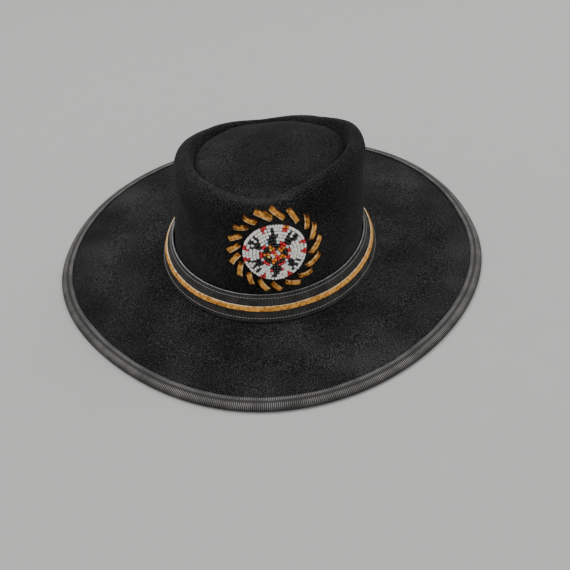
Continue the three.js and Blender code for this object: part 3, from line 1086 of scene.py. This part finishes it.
@dataclass
class HatBand:
    """The leather band round the crown's foot, its stitching and the tan lace laid along it."""

    oval: HeadOval
    seat: float = 6.0
    width: float = 23.0
    leather: float = 1.6
    slope: float = 62.0
    belly: float = 0.3
    standoff: float = 0.8
    lace_width: float = 4.3
    lace: float = 1.0
    gap: float = 0.3
    # share of the width and share of the belly along the section
    section: tuple[Row, ...] = ((0.0, 0.0), (0.36, 1.0), (0.64, 1.0), (1.0, 0.0))
    corner: float = 0.7
    # how wide the band's upper edge is that is painted pale grey as a painted highlight
    edge_highlight: float = 0.45
    seam: Seam = Seam(2.5, 1.85, 0.33)
    seam_rows: Row = (0.15, 0.86)
    lace_corner: float = 0.35
    lace_swing: Unevenness = Unevenness(0.25, 26.0, 2.2)
    lace_ripple: Unevenness = Unevenness(0.12, 5.0, 8.4)
    # how light the lace is painted, and how much darker its lower edge is painted, as painted shade
    lace_tone: float = 0.85
    lower_edge_shade: float = 0.4
    steps: int = 720

    def points(self, angles: np.ndarray, along: np.ndarray, out: np.ndarray) -> np.ndarray:
        """Finds points of the band.

        Args:
            angles: Angles round the band.
            along: Distances up the band's width from its foot.
            out: Distances out from its inner face.

        Returns:
            The points, with shape (angles, points, 3).
        """
        slope = math.radians(self.slope)
        reach = self.standoff + self.width * math.cos(slope)
        outset = reach - along * math.cos(slope) + out * math.sin(slope)
        height = self.seat + along * math.sin(slope) + out * math.cos(slope)
        ring = np.broadcast_to(angles[:, None], (len(angles), len(along)))
        return self.oval.points(ring, np.broadcast_to(outset, ring.shape), height)

    def outward(self, angles: np.ndarray) -> np.ndarray:
        """Returns the way straight out of the band's face at angles round it."""
        slope = math.radians(self.slope)
        return self.oval.normals(angles) * math.sin(slope) + np.array([0, 0, math.cos(slope)])

    def build(self, leather: Material, cut_edge: Material) -> Piece:
        """Makes the leather band.

        Args:
            leather: Its finish.
            cut_edge: The finish of its upper cut edge, pale grey as a painted highlight.

        Returns:
            The band.
        """
        face = [(along * self.width, belly * self.belly) for along, belly in self.section]
        corners = [*face, *[(along, out + self.leather) for along, out in reversed(face)]]
        loop = rounded_loop(corners, self.corner, 5)
        angles = turns(self.steps)
        grid = self.points(angles, loop[:, 0], loop[:, 1])
        faces = ring_faces(self.steps, len(loop), True)
        middle = 0.5 * (loop[:, 0] + np.roll(loop[:, 0], -1))
        # the faces along the upper edge take the pale grey finish: a painted highlight
        shiny = (middle > self.width - self.edge_highlight).astype(int)
        draft = MeshDraft(grid.reshape(-1, 3), [faces], [np.tile(shiny, self.steps)])
        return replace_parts(draft.build("band_leather", [leather, cut_edge], "black_leather"), "hat_band")

    def stitch(self, thread: Material) -> Piece:
        """Makes the rows of stitches along the band.

        Args:
            thread: Their finish.

        Returns:
            All the stitches as one piece.
        """
        angles = turns(self.steps)
        places, bellies = np.array(self.section).T
        drafts = []
        for share in self.seam_rows:
            out = np.interp(share, places, bellies) * self.belly + self.leather
            line = self.points(angles, np.array([share * self.width]), np.array([out]))[:, 0]
            drafts.append(self.seam.sew(line, self.outward(angles)))
        sizes = np.cumsum([0, *[len(draft.points) for draft in drafts]])
        faces = [group + size for draft, size in zip(drafts, sizes) for group in draft.faces]
        joined = MeshDraft(np.concatenate([draft.points for draft in drafts]), faces)
        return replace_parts(joined.build("band_stitches", [thread], "black_leather"), "hat_band")

    def lay_lace(self, suede: Material, cut_edge: Material) -> Piece:
        """Makes the lace along the band's middle.

        Args:
            suede: The finish of its faces.
            cut_edge: The finish of its cut edges, partly their own paler colour and partly a painted
                highlight.

        Returns:
            The lace.
        """
        face, low = self.belly + self.leather + self.gap, (self.width - self.lace_width) / 2
        corners = [(0, 0), (self.lace_width, 0), (self.lace_width, self.lace), (0, self.lace)]
        loop = rounded_loop(corners, self.lace_corner, 4)
        angles = turns(self.steps)
        grid = self.points(angles, loop[:, 0] + low, loop[:, 1] + face)
        swing = self.lace_swing.at(grid[:, :1]) + self.lace_ripple.at(grid)
        up = self.points(angles, loop[:, 0] + low + 1.0, loop[:, 1] + face) - grid
        grid = grid + up * swing[..., None]
        middle = 0.5 * (loop + np.roll(loop, -1, axis=0))
        # the faces along the upper edge take the paler cut-edge finish: partly the lace's own cut edge,
        # partly a painted highlight
        cut = (middle[:, 0] > self.lace_width - self.lace_corner).astype(int)
        faces = ring_faces(self.steps, len(loop), True)
        draft = MeshDraft(grid.reshape(-1, 3), [faces], [np.tile(cut, self.steps)])
        piece = draft.build("band_lace_suede", [suede, cut_edge], "tan_suede")
        # the lower edge is painted darker: painted shade
        tone = self.lace_tone - self.lower_edge_shade * (loop[:, 0] < self.lace_corner)
        paint(piece, "tone", np.tile(tone, self.steps))
        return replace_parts(piece, "band_lace")


# ring, colour and angles of the runs of beads, each from its first bead to its last one; the rest are ivory
BEAD_CHART: tuple[tuple[int, BeadColour, tuple[Row, ...]], ...] = (
    (0, BeadColour.ORANGE, ((0,),)),
    (1, BeadColour.RED, ((-83,), (-40,), (96,), (142,))),
    (1, BeadColour.PALE_BLUE, ((50,), (232,))),
    (2, BeadColour.BLACK, ((0,), (60, 80), (140,), (215, 235))),
    (2, BeadColour.ORANGE, ((-90,), (-48, -22), (22, 43), (94,), (170,), (250,))),
    (2, BeadColour.YELLOW, ((118,), (195,))),
    (2, BeadColour.RED, ((-70,),)),
    (3, BeadColour.BLACK, ((-85, -40), (-10, 30), (65, 95), (120, 165), (190, 245))),
    (3, BeadColour.ORANGE, ((-103,), (-25,), (38,), (107,), (175,))),
    (3, BeadColour.RED, ((54,),)),
    (4, BeadColour.BLACK, ((-100, -78), (84, 106))),
    (4, BeadColour.RED, ((-72, -55), (-32, -20), (8, 20), (44, 60), (131, 150), (172, 192), (215, 236))),
    (4, BeadColour.PALE_BLUE, ((-43,), (28,), (72,), (119,), (160,), (203,), (247,))),
    (5, BeadColour.BLACK, ((-103, -82), (-42, -31), (34, 52), (85, 103), (140, 155), (203, 220))),
    (5, BeadColour.PALE_BLUE, ((-48,), (10,), (116,), (234,))),
    (6, BeadColour.BLACK, ((-97, -84), (-48, -32), (36, 51), (87, 99), (140, 155), (203, 216))),
    (6, BeadColour.RED, ((-103,), (-77,))),
    (7, BeadColour.BLACK, ((-98, -85), (-51,), (-40,), (-29,), (30,), (41,), (52,), (93,), (132,), (146,))),
    (7, BeadColour.BLACK, ((158,), (197,), (210,), (224,))),
    (8, BeadColour.BLACK, ((-98, -92), (-51,), (-40,), (-28,), (32,), (42,), (52,), (90,), (132,), (142,))),
    (8, BeadColour.BLACK, ((153,), (199,), (212,), (224,))),
    (8, BeadColour.RED, ((-66,), (-9,), (15,), (65, 71), (109,), (168,), (190,), (244,))),
    (9, BeadColour.RED, ((-69, -64), (-13, -8), (11, 16), (70,), (103, 108))),
    (9, BeadColour.RED, ((163, 168), (187, 192), (241, 246))),
    (9, BeadColour.ORANGE, ((65,),)),
    (9, BeadColour.PALE_BLUE, ((4,), (-19,), (176,), (251,))),
)


@dataclass
class Rosette:
    """The beaded rosette on the crown's front and the lace that is stitched round it."""

    crown: Crown
    diameter: float = 50.0
    thickness: float = 3.2
    dome: float = 2.4
    side: float = 5.6
    up: float = 44.3
    bend: float = 82.0
    # share of the radius and distance out along the section of the leather behind the beads, from its front
    back_section: tuple[Row, ...] = (
        (0.25, 1.3),
        (0.6, 1.3),
        (0.9, 1.3),
        (0.98, 1.2),
        (1.0, 0.9),
        (0.99, 0.4),
        (0.6, 0.35),
        (0.25, 0.35),
    )
    back_front: float = 1.1
    back_steps: int = 96
    rings: int = 9
    ring_pitch: float = 2.6
    bead_width: float = 2.54
    bead_length: float = 2.12
    # share of the length and share of the width along a bead's section
    bead_section: tuple[Row, ...] = (
        (-0.5, 0.34),
        (-0.5, 0.56),
        (-0.42, 0.84),
        (-0.2, 1.0),
        (0.2, 1.0),
        (0.42, 0.84),
        (0.5, 0.56),
        (0.5, 0.34),
    )
    bead_sides: int = 14
    bead_fill: float = 0.96
    first_bead: float = 5.0
    splay: float = 0.19
    # how much beads differ: in angle, in reach or height, in the way they lie, in width and in length
    spread: Row = (0.5, 0.07, 0.05, 0.035, 0.06)
    lace_width: float = 4.6
    lace: float = 1.4
    lace_arch: float = 1.5
    lace_gap: float = 0.5
    lace_steps: int = 19
    lace_corner: float = 0.16
    # how far the middle of a stitch may bow, how much it may tilt, how much narrower it is and how uneven
    lace_bow: float = 0.25
    lace_tilt: float = 0.05
    lace_waist: float = 0.08
    lace_ripple: Row = (0.03, 9.0)
    # how deep the ends plunge and how much darker they are painted as painted shade, each with how far from
    # the run's middle that starts and is full
    plunge: Row = (0.9, 0.4, 0.5)
    painted_end_shade: Row = (0.45, 0.25, 0.5)
    # how much darker the two edges are painted as painted shade, where on the width they start, and how light
    # the stitches are
    painted_edge_shade: Row = (0.5, 0.2)
    edge_start: float = 0.38
    cut_start: float = 0.3
    lace_tones: Row = (0.62, 0.98)
    # outer angle, outer reach, inner angle and inner reach of each stitch, reaches in shares of the radius
    stitches: tuple[Row, ...] = (
        (90.5, 1.52, 69.5, 1.2),
        (68.5, 1.51, 46.5, 1.2),
        (43.5, 1.55, 26, 1.21),
        (26, 1.54, 5.5, 1.21),
        (4.5, 1.55, -18, 1.18),
        (-18, 1.54, -39, 1.24),
        (-40, 1.53, -57.5, 1.25),
        (-60, 1.49, -78.5, 1.19),
        (-85.5, 1.44, -99, 1.14),
        (-102.5, 1.43, -120, 1.14),
        (-124, 1.44, -141, 1.14),
        (-142.5, 1.49, -162.5, 1.15),
        (-162.5, 1.52, -177, 1.16),
        (-179, 1.55, -194, 1.16),
        (-196, 1.54, -211, 1.2),
        (-215, 1.57, -231, 1.21),
        (-235, 1.56, -247, 1.2),
        (-250, 1.54, -270.5, 1.17),
    )
    tail: Row = (101, 1.42, 87, 1.24)

    def on_crown(self, left: np.ndarray, up: np.ndarray, out: np.ndarray) -> np.ndarray:
        """Finds points over the crown's face near the rosette.

        Args:
            left: Distances towards the wearer's left from the rosette's middle.
            up: Distances up the face from its middle.
            out: Distances out from the face.

        Returns:
            The points.
        """
        angles = FRONT + (self.side + left) / self.crown.oval.half_width
        return self.crown.off_face(angles, self.up + up, out)

    def axes(self) -> Ways:
        """Returns the rosette's middle on the face, and the ways left, up and out there."""
        zero = np.zeros(1)
        middle = self.on_crown(zero, zero, zero)[0]
        left = unit(self.on_crown(zero + 1, zero, zero)[0] - self.on_crown(zero - 1, zero, zero)[0])
        out = unit(self.on_crown(zero, zero, zero + 1)[0] - middle)
        return middle, left, np.cross(out, left), out

    def place(self, left: np.ndarray, up: np.ndarray, out: np.ndarray) -> Ways:
        """Finds points over the rosette's own smooth back, which bends less than the crown.

        Args:
            left: Distances to the left of its middle.
            up: Distances up from its middle.
            out: Distances out from its back.

        Returns:
            The points, and the ways left, up and out at each.
        """
        middle, to_left, to_up, to_out = self.axes()
        turn = (np.asarray(left) / self.bend)[..., None]
        way_left = to_left * np.cos(turn) - to_out * np.sin(turn)
        way_out = to_out * np.cos(turn) + to_left * np.sin(turn)
        swing = to_left * np.sin(turn) * self.bend - to_out * (1 - np.cos(turn)) * self.bend
        points = middle + swing + to_up * np.asarray(up)[..., None] + way_out * np.asarray(out)[..., None]
        return points, way_left, np.broadcast_to(to_up, points.shape), way_out

    def back(self, leather: Material) -> Piece:
        """Makes the leather disc behind the beads.

        Args:
            leather: Its finish.

        Returns:
            The disc.
        """
        radius = self.diameter / 2
        turn = turns(self.back_steps)[:, None]
        share, flat = np.array(self.back_section).T
        out = flat + (flat > self.back_front) * self.dome * (1 - share**2)
        left, up = radius * np.cos(turn) * share, radius * np.sin(turn) * share
        grid = self.place(left, up, np.broadcast_to(out, left.shape))[0]
        middles = self.place(np.zeros(2), np.zeros(2), np.array([flat[0] + self.dome, flat[-1]]))[0]
        points = np.concatenate([grid.reshape(-1, 3), middles])
        draft = MeshDraft(points, capped_faces(self.back_steps, len(flat), True))
        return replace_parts(draft.build("rosette_back", [leather], "seed_beads"), "rosette")

    def colour_of(self, ring: int, angle: float, beads: int) -> BeadColour:
        """Reads one bead's colour from the chart.

        Args:
            ring: The bead's ring.
            angle: Its angle, in degrees.
            beads: How many beads its ring has.

        Returns:
            The colour.
        """
        found = BeadColour.IVORY
        for at_ring, colour, runs in BEAD_CHART:
            for run in runs if at_ring == ring else ():
                middle, reach = (run[0] + run[-1]) / 2, (run[-1] - run[0]) / 2 + 180 / beads
                if abs((angle - middle + 180) % 360 - 180) <= reach:
                    found = colour
        return found

    def bead(self, finishes: dict[BeadColour, Material]) -> Piece:
        """Makes the rosette's seed beads, ring by ring.

        Args:
            finishes: A material for each colour.

        Returns:
            All the beads as one piece.
        """
        random = np.random.default_rng(7)
        spots, colours = [(0.0, 0.0)], [self.colour_of(0, 0.0, 1)]
        for ring in range(1, self.rings + 1):
            reach = ring * self.ring_pitch
            beads = int(round(2 * math.pi * reach / self.bead_length))
            for angle in self.first_bead + 360 / beads * np.arange(beads):
                spots.append((reach, angle))
                colours.append(self.colour_of(ring, angle, beads))
        reach, angle = np.array(spots).T
        count = len(reach)
        turned, moved, askew, wider, longer = self.spread
        turn = np.radians(angle + random.normal(0, turned, count))
        reach = reach + random.normal(0, moved, count)
        share = reach / (self.diameter / 2)
        dome = self.dome * (1 - share**2)
        high = self.thickness - self.bead_width / 2 + dome + random.normal(0, moved, count)
        centre, left, up, out = self.place(reach * np.cos(turn), reach * np.sin(turn), high)
        cosine, sine = np.cos(turn)[:, None], np.sin(turn)[:, None]
        out = unit(out + (left * cosine + up * sine) * (self.splay * share)[:, None])
        tangent = unit(up * cosine - left * sine + random.normal(0, askew, out.shape))
        radial = unit(np.cross(tangent, out))
        along, wide = np.array(self.bead_section).T[..., None]
        roll = np.radians(np.arange(self.bead_sides) * 360 / self.bead_sides)[:, None]
        size = self.bead_width / 2 * (1 + random.normal(0, wider, count))
        length = self.bead_length * self.bead_fill * (1 + random.normal(0, longer, count))
        ring = radial[:, None] * np.cos(roll) + out[:, None] * np.sin(roll)
        body = ring[:, :, None] * wide * size[:, None, None, None]
        body = body + tangent[:, None, None] * along * length[:, None, None, None]
        copies = (centre[:, None, None] + body).reshape(count, -1, 3)
        draft = repeated(copies, [ring_faces(self.bead_sides, len(along), True)])
        order, points = list(finishes), copies.shape[1]
        draft.materials = [np.repeat([order.index(colour) for colour in colours], points)]
        piece = draft.build("rosette_beads", [finishes[colour] for colour in order], "seed_beads")
        paint(piece, "bead_shade", np.repeat(random.uniform(0, 1, count), points))
        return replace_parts(piece, "rosette")

    def spot(self, at: float, reach: float) -> np.ndarray:
        """Returns how far left and up a place is, by its angle in degrees and its share of the radius."""
        return self.diameter / 2 * reach * np.array([math.cos(math.radians(at)), math.sin(math.radians(at))])

    def lace_up(self, suede: Material, cut_edge: Material) -> list[Piece]:
        """Makes the laced stitches round the rosette.

        Args:
            suede: The finish of their faces.
            cut_edge: The finish of their cut edges, partly their own paler colour and partly a painted
                highlight.

        Returns:
            The stitches, in the order of their table.
        """
        random = np.random.default_rng(19)
        loop = rounded_loop([(-0.5, 0), (0.5, 0), (0.5, 1), (-0.5, 1)], self.lace_corner, 4)
        share = np.linspace(0.0, 1.0, self.lace_steps)
        arch, from_middle = np.sin(np.pi * share), np.abs(share - 0.5)
        # the ends that plunge into the suede are painted darker: painted shade
        plunge, ends = (deep * blend_in(from_middle, *run) for deep, *run in (self.plunge, self.painted_end_shade))
        low = self.lace_gap + self.lace_arch * arch**0.7 - plunge
        width = 1 - self.lace_waist * arch
        ripple, waves = self.lace_ripple
        lower, upper = self.painted_edge_shade
        # the two side edges are painted darker, the lower one more: painted shade
        edges = lower * (loop[:, 0] < -self.edge_start) + upper * (loop[:, 0] > self.edge_start)
        middle = 0.5 * (loop + np.roll(loop, -1, axis=0))
        # the faces at one top edge take the paler cut-edge finish, partly the lace's own cut edge and partly
        # a painted highlight
        cut = (middle[:, 0] * middle[:, 1] > self.cut_start).astype(int)
        first = np.arange(len(loop))
        last = first + (len(share) - 1) * len(loop)
        faces = [strip_faces(len(share), len(loop)), first[::-1][None], last[None]]
        materials = [np.tile(cut, len(share) - 1), np.zeros(2)]
        pieces = []
        for number, (outer_at, outer, inner_at, inner) in enumerate([*self.stitches, self.tail], start=1):
            start, end = self.spot(inner_at, inner), self.spot(outer_at, outer)
            way = unit(end - start)
            across = np.array([-way[1], way[0]])
            bow = random.normal(0, self.lace_bow)
            run = start + (end - start) * share[:, None] + across * (bow * arch)[:, None]
            wide = loop[:, 0] * self.lace_width * (width + ripple * np.sin(share * waves + number))[:, None]
            out = low[:, None] + loop[:, 1] * self.lace + wide * random.normal(0, self.lace_tilt)
            left, up = run[:, :1] + across[0] * wide, run[:, 1:] + across[1] * wide
            points = self.on_crown(left.ravel(), up.ravel(), out.ravel())
            piece = MeshDraft(points, faces, materials).build(
                f"stitch_{number:02d}", [suede, cut_edge], "tan_suede"
            )
            # each stitch's own random tone, less the painted shade at its ends and edges
            paint(piece, "tone", random.uniform(*self.lace_tones) - ends[:, None] - edges)
            pieces.append(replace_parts(piece, f"lace_stitch_{min(number, len(self.stitches)):02d}"))
        return pieces


@dataclass
class Studio:
    """The floor, the soft lights and the camera."""

    target: Row = (10.93, -60.0, 2.7)
    distance: float = 664.8
    elevation: float = 38.21
    azimuth: float = 0.19
    roll: float = -4.91
    lens: float = 48.95
    sensor: float = 36.0
    # how far the floor reaches from its middle and how far it lies under the hat, in metres
    floor_reach: float = 6.0
    floor_gap: float = 0.0002
    # name, place and width in metres, and power in watts of each light, and where all of them point
    lamps: tuple[tuple[str, Row, float, float], ...] = (
        ("key_light", (-0.7, 0.5, 1.9), 1.3, 27.0),
        ("side_light", (1.2, 0.7, 1.3), 1.0, 13.0),
        ("fill_light", (0.5, -1.6, 1.3), 1.6, 12.0),
    )
    lit: Row = (0.0, 0.0, 0.05)
    surroundings: Row = (1.0, 0.99, 0.97, 1.0)
    glow: float = 0.55

    def floor(self) -> None:
        """Makes the floor."""
        mesh, far = bpy.data.meshes.new("floor"), self.floor_reach
        mesh.from_pydata([(-far, -far, 0), (far, -far, 0), (far, far, 0), (-far, far, 0)], [], [(0, 1, 2, 3)])
        mesh.materials.append(PaleFloor().make())
        floor = bpy.data.objects.new("floor", mesh)
        floor.location.z = -self.floor_gap
        bpy.context.scene.collection.objects.link(floor)

    def light(self, name: str, place: Row, size: float, power: float) -> None:
        """Makes one soft light that faces the hat.

        Args:
            name: Its name.
            place: Where it is, in metres.
            size: How wide it is, in metres.
            power: How strong it is, in watts.
        """
        data = bpy.data.lights.new(name, "AREA")
        data.shape, data.size, data.energy = "DISK", size, power
        light = bpy.data.objects.new(name, data)
        light.location = place
        light.rotation_euler = (Vector(self.lit) - Vector(place)).to_track_quat("-Z", "Y").to_euler()
        bpy.context.scene.collection.objects.link(light)

    def lights(self) -> None:
        """Makes the lights and the pale surroundings."""
        for lamp in self.lamps:
            self.light(*lamp)
        world = bpy.data.worlds.new("studio")
        bpy.context.scene.world = world
        world.use_nodes = True
        background = world.node_tree.nodes["Background"]
        background.inputs["Color"].default_value = self.surroundings
        background.inputs["Strength"].default_value = self.glow

    def camera(self) -> None:
        """Makes the camera, which looks down at the hat from the front."""
        rise, turn = math.radians(self.elevation), math.radians(self.azimuth)
        back = Vector((math.sin(turn) * math.cos(rise), -math.cos(turn) * math.cos(rise), math.sin(rise)))
        data = bpy.data.cameras.new("camera")
        data.lens, data.sensor_width, data.clip_start = self.lens, self.sensor, 0.01
        camera = bpy.data.objects.new("camera", data)
        level = (-back).to_track_quat("-Z", "Y").to_matrix().to_4x4()
        rolled = level @ Matrix.Rotation(math.radians(self.roll), 4, "Z")
        camera.matrix_world = Matrix.Translation((Vector(self.target) + back * self.distance) * MM) @ rolled
        bpy.context.scene.collection.objects.link(camera)
        bpy.context.scene.camera = camera


def main() -> None:
    """Builds the hat's pieces in order, then the studio."""
    logging.basicConfig(level=logging.INFO, format="%(name)s: %(message)s")
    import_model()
    thread = Thread("grey_thread", (0.34, 0.335, 0.33)).make()
    leather = GrainLeather("black_leather", (0.0015, 0.0015, 0.0015), (0.056, 0.055, 0.053), 0.7).make()
    # the band's upper edge finish is pale grey: a painted highlight
    edge_highlight = GrainLeather("leather_edge_highlight", (0.16, 0.165, 0.17), (0.42, 0.425, 0.44), 0.3).make()
    tan = LaceSuede("tan_suede", (0.04, 0.011, 0.002), (0.35, 0.132, 0.018), (0.78, 0.37, 0.075)).make()
    # the paler tan of the laces' cut edges is partly their own colour and partly a painted highlight on the
    # side towards the light
    tan_edge_highlight = LaceSuede("tan_cut_edge_highlight", (0.3, 0.15, 0.05), (0.62, 0.4, 0.19), (0.95, 0.78, 0.52)).make()
    oval = HeadOval()
    crown, brim, band = Crown(oval), Brim(oval), HatBand(oval)
    # the crown's copy of the suede is darker than the brim's (0.62 against 0.8): painted shade
    crown.build(NappedSuede("crown_suede", shade=0.62).make())
    brim.build(NappedSuede(shade=0.8).make())
    brim.bind(RibbedRibbon().make(), Thread("charcoal_thread", (0.2, 0.195, 0.19)).make())
    band.build(leather, edge_highlight)
    band.stitch(thread)
    band.lay_lace(tan, tan_edge_highlight)
    rosette = Rosette(crown)
    rosette.back(leather)
    rosette.bead({colour: SeedGlass(colour).make() for colour in BeadColour})
    rosette.lace_up(tan, tan_edge_highlight)
    studio = Studio()
    studio.floor()
    studio.lights()
    studio.camera()
    bpy.context.view_layer.update()


if __name__ == "__main__":
    main()
